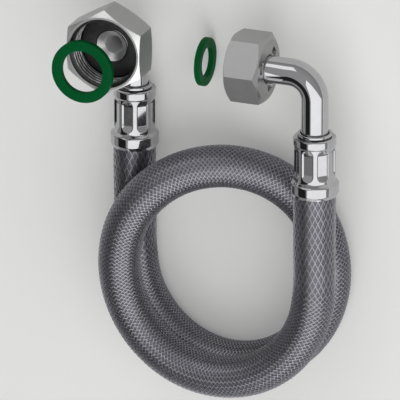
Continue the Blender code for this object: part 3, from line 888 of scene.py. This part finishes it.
def union_nut(name, end, fitting, matrix):
    """Hexagon nut: one closed section whose radius and height depend on the angle.

    The hexagon's radius is half the width over the cosine of the angle from the nearest flat's
    middle. A cone of 30 degrees cuts each end, so a chamfer's height falls with that radius. The
    thread's radius goes from minor to major and back in straight flanks, with narrow flats at both,
    once in each pitch of height less the turn. The front chamfer and rim get a copy of the nickel
    about twice as bright, a painted highlight; the rim's inner edge, the thread's entrance and its
    roots get dark steel, painted shade.
    """
    edge = 0.0002
    thread_end, run_out, lead_slope = 0.0006, 0.0012, 0.75
    # Painted shade: the depth of the dark band at the thread's entrance, and the share of the wave above
    # which the thread's flanks and roots are painted dark.
    painted_shade_entrance, painted_shade_root = 0.0015, 0.22
    half = 0.5 * end["flats"]
    spots = np.concatenate(
        [(0.004, 0.015, 0.03, 0.05), np.linspace(0.08, 0.92, 30), (0.95, 0.97, 0.985, 0.996)]
    )
    turn = np.concatenate([(k + spots) * math.pi / 3.0 for k in range(6)])
    hexagon = half / np.cos(np.mod(turn, math.pi / 3.0) - math.pi / 6.0)
    angle = turn + end["hexagon_turn"]
    front = fitting.socket_depth
    back = front - fitting.nut_length
    slope = math.tan(math.radians(30.0))
    hole = fitting.tube_radius + 0.00045
    shoulder = -fitting.collar_thickness - 0.0003
    back_face, front_face = half - 0.0009, half - 0.0004
    minor, major = end["thread_minor"], end["thread_major"]
    flat = np.ones_like(turn)

    face = np.linspace(hole + edge, back_face, 40)[:, None] * flat
    rows = [(face, back + pressed_marks(face, angle))]

    chamfer = np.linspace(0.25, 1.0, 4)[:, None]
    outward = back_face + (hexagon - back_face) * chamfer
    rows.append((outward, back + (outward - back_face) * slope))
    low = back + (hexagon - back_face) * slope
    high = front - (hexagon - front_face) * slope
    rise = np.linspace(0.0, 1.0, 8)[1:-1, None]
    rows.append((hexagon + 0.0 * rise, low + (high - low) * rise))
    outward = front_face + (hexagon - front_face) * chamfer[::-1]
    rows.append((outward, front - (outward - front_face) * slope))
    rim = np.linspace(front_face, major + 0.5 * edge, 3)[:, None]
    rows.append((rim * flat, front + 0.0 * flat))
    first = sum(len(r) for r, _ in rows)

    height = np.linspace(front - edge, thread_end, 110)[:, None]
    cut = smoothstep((height - thread_end) / run_out)
    step = np.mod(height / end["pitch"] - angle / FULL_TURN, 1.0)
    wave = np.clip(1.25 * (1.0 - np.abs(2.0 * step - 1.0)) - 0.125, 0.0, 1.0)
    thread = minor + (major - minor) * wave * cut
    lead = major - (front - edge - height) * lead_slope
    rows.append((np.maximum(thread, lead), height * flat))
    inside = [(minor, 0.5 * thread_end), (minor, shoulder), (hole + edge, shoulder)]
    inside = np.array(inside + [(hole, shoulder - edge), (hole, back + edge)])
    rows.append((inside[:, 0:1] * flat, inside[:, 1:2] * flat))
    radius, level = (np.vstack(part) for part in zip(*(np.broadcast_arrays(r, z) for r, z in rows)))
    points = np.stack([radius * np.cos(angle), radius * np.sin(angle), level], axis=-1)
    along = section_length(np.column_stack([radius[:, 0], level[:, 0]]))
    around = np.append(angle, angle[0] + FULL_TURN) * half
    nut = surface(name, moved(points, matrix)[None], "nickel", along, around, True, 28.0)
    threaded = slice(first, first + len(height))
    dark = np.zeros(radius.shape, dtype=bool)
    # Painted shade: dark steel on the rim's inner row, the thread's entrance and its roots.
    dark[first - 1] = True
    dark[threaded] = (level[threaded] > front - painted_shade_entrance) | (wave * cut > painted_shade_root)
    second_finish(nut, dark, "black")
    # Painted highlight: the front chamfer and the rim get the brighter turned copy of the nickel.
    turned = np.zeros(radius.shape, dtype=bool)
    turned[first - len(rim) - len(chamfer) : first - 1] = True
    second_finish(nut, turned, "turned")
    return nut


def stand_for(ob, body, slot, *nodes):
    """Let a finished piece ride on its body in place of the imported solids."""
    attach(ob, body)
    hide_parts(*nodes)
    for node in nodes:
        dress(node, ob.data.materials[0])


def dress(node, mat):
    mesh = bpy.data.objects[node].data
    mesh.materials.clear()
    mesh.materials.append(mat)


# Operators


class HOSE_OT_stage(bpy.types.Operator):
    """Floor, soft studio light and the camera"""

    bl_idname = "hose.stage"
    bl_label = "Stage"

    def execute(self, context):
        scene = context.scene
        scene.view_settings.view_transform = "Standard"
        half = 4.0
        corners = [(-half, -half, 0), (half, -half, 0), (half, half, 0), (-half, half, 0)]
        mesh = bpy.data.meshes.new("floor")
        mesh.from_pydata(corners, [], [(0, 1, 2, 3)])
        mesh.materials.append(material("floor"))
        floor = bpy.data.objects.new("floor", mesh)
        scene.collection.objects.link(floor)
        for name, (place, size, power) in SOFT_BOXES.items():
            soft_light(name, place, size, power)
        studio_world(scene)
        add_camera(scene)
        return {"FINISHED"}


def soft_light(name, place, size, power):
    """A rectangular soft box that faces the hose; its size is its level width, then its height."""
    lamp = bpy.data.lights.new(name, "AREA")
    lamp.shape = "RECTANGLE"
    lamp.size, lamp.size_y = size
    lamp.energy = power
    ob = bpy.data.objects.new(name, lamp)
    ob.visible_camera = False
    aim = Vector((0.0, -0.06, 0.0))
    ob.location = place
    ob.rotation_euler = (aim - ob.location).to_track_quat("-Z", "Y").to_euler()
    bpy.context.scene.collection.objects.link(ob)


def studio_world(scene):
    """A grey room, paler overhead, with a dark flag high on the side of the larger nut.

    The flag takes the directions above its lower edge in which X + Y / 2 is below its side edge.
    """
    horizon, zenith = 0.36, 0.48
    side_edge, lower_edge = (-0.53, -0.50), (0.36, 0.44)
    flag_share = 0.05
    world = bpy.data.worlds.new("studio_room")
    world.use_nodes = True
    tree = world.node_tree
    tree.nodes.clear()
    direction = add(tree, "ShaderNodeTexCoord").outputs["Generated"]
    parts = add(tree, "ShaderNodeSeparateXYZ", {0: direction}).outputs
    room = fade(tree, parts["Z"], 0.0, 0.8, horizon, zenith)
    slant = calculate(tree, "MULTIPLY_ADD", parts["Y"], 0.5, parts["X"])
    aside = fade(tree, slant, *side_edge, 0.0, 1.0)
    low = fade(tree, parts["Z"], *lower_edge, 1.0, 0.0)
    unflagged = fade(tree, calculate(tree, "MAXIMUM", aside, low), 0.0, 1.0, flag_share, 1.0)
    strength = calculate(tree, "MULTIPLY", room, unflagged)
    background = add(tree, "ShaderNodeBackground", {"Color": (1, 1, 1, 1), "Strength": strength})
    add(tree, "ShaderNodeOutputWorld", {"Surface": background.outputs[0]})
    scene.world = world


def add_camera(scene):
    """A long lens from the photograph's direction, so that the view has almost no perspective."""
    right = Vector((0.9311, 0.0, -0.3649))
    up = Vector((-0.1302, 0.9342, -0.3321))
    towards = Vector((0.3409, 0.3567, 0.8698))
    aim = Vector((-0.0144, -0.06579, -0.0013)) + 0.031 * towards
    distance = 6.0
    width = 0.1854
    data = bpy.data.cameras.new("camera")
    data.sensor_width = 36.0
    data.lens = data.sensor_width * distance / width
    data.clip_end = 20.0
    camera = bpy.data.objects.new("camera", data)
    scene.collection.objects.link(camera)
    turn = Matrix((right, up, towards)).transposed().to_4x4()
    camera.matrix_world = Matrix.Translation(aim + distance * towards) @ turn
    scene.camera = camera


class HOSE_OT_hose(bpy.types.Operator):
    """The braided hose between the two ferrules"""

    bl_idname = "hose.braided_hose"
    bl_label = "Braided hose"

    def execute(self, context):
        hose, _ = sizes()
        line, steps = centreline(hose)
        ground = hose_ground(hose, line, steps)
        strands = [
            braid(hose, line, steps, 1.0, "braid_right_hand"),
            braid(hose, line, steps, -1.0, "braid_left_hand"),
        ]
        stand_for(ground, "base", "braid", "hose")
        for ob in strands:
            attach(ob, "base")
        return {"FINISHED"}


class HOSE_OT_sleeves(bpy.types.Operator):
    """Ferrules and nipples on both ends, with the hose's ends inside them"""

    bl_idname = "hose.sleeves"
    bl_label = "Ferrules and nipples"

    def execute(self, context):
        _, fitting = sizes()
        for side, end in ENDS.items():
            matrix = leg_matrix(end)
            sleeve = ferrule("pressed_ferrule_" + side, fitting, matrix)
            stand_for(sleeve, "base", "ferrule", "ferrule_" + side)
            insert = nipple("barbed_nipple_" + side, fitting, matrix)
            stand_for(insert, "base", "chrome", "nipple_" + side)
            dress("hose_end_" + side, material("rubber"))
        return {"FINISHED"}


class HOSE_OT_tubes(bpy.types.Operator):
    """Bent tubes with their collars"""

    bl_idname = "hose.tubes"
    bl_label = "Bent tubes and collars"

    def execute(self, context):
        _, fitting = sizes()
        for side, end in ENDS.items():
            tube = bent_tube("bent_tube_" + side, end, fitting, leg_matrix(end))
            stand_for(tube, "base", "chrome", "elbow_tube_" + side)
            ring = collar("turned_collar_" + side, end, fitting, face_matrix(end, fitting))
            stand_for(ring, "base", "collar", "collar_" + side)
        return {"FINISHED"}


class HOSE_OT_nuts(bpy.types.Operator):
    """Union nuts with their threads"""

    bl_idname = "hose.nuts"
    bl_label = "Union nuts"

    def execute(self, context):
        _, fitting = sizes()
        for side, end in ENDS.items():
            nut = union_nut("threaded_nut_" + side, end, fitting, face_matrix(end, fitting))
            stand_for(nut, "nut_" + side, "nut", "union_nut_" + side)
        return {"FINISHED"}


class HOSE_OT_seals(bpy.types.Operator):
    """Flat sealing rings"""

    bl_idname = "hose.seals"
    bl_label = "Sealing rings"

    def execute(self, context):
        for side, body in (("left", "nut_left"), ("right", "base")):
            ring = gasket("fibre_ring_" + side, ENDS[side])
            stand_for(ring, body, "seal", "gasket_" + side)
        return {"FINISHED"}


OPERATORS = (HOSE_OT_stage, HOSE_OT_hose, HOSE_OT_sleeves, HOSE_OT_tubes, HOSE_OT_nuts, HOSE_OT_seals)


class HOSE_PT_panel(bpy.types.Panel):
    """Lists the steps that build the hose"""

    bl_idname = "HOSE_PT_panel"
    bl_label = "Braided hose"
    bl_space_type = "VIEW_3D"
    bl_region_type = "UI"
    bl_category = "Hose"

    def draw(self, context):
        for operator in OPERATORS:
            self.layout.operator(operator.bl_idname)
        for group in ("hose_sizes", "fitting_sizes", "hose_finishes"):
            box = self.layout.box()
            values = getattr(context.scene, group)
            for key in values.bl_rna.properties.keys():
                if key not in ("rna_type", "name"):
                    box.prop(values, key)


GROUPS = {"hose_sizes": HoseSizes, "fitting_sizes": FittingSizes, "hose_finishes": Finishes}


def register():
    for cls in (*GROUPS.values(), *OPERATORS, HOSE_PT_panel):
        bpy.utils.register_class(cls)
    for name, cls in GROUPS.items():
        setattr(bpy.types.Scene, name, PointerProperty(type=cls))


def unregister():
    for name in GROUPS:
        delattr(bpy.types.Scene, name)
    for cls in reversed((*GROUPS.values(), *OPERATORS, HOSE_PT_panel)):
        bpy.utils.unregister_class(cls)


def main():
    register()
    bpy.ops.hose.stage()
    bpy.ops.hose.braided_hose()
    bpy.ops.hose.sleeves()
    bpy.ops.hose.tubes()
    bpy.ops.hose.nuts()
    bpy.ops.hose.seals()


if __name__ == "__main__":
    main()
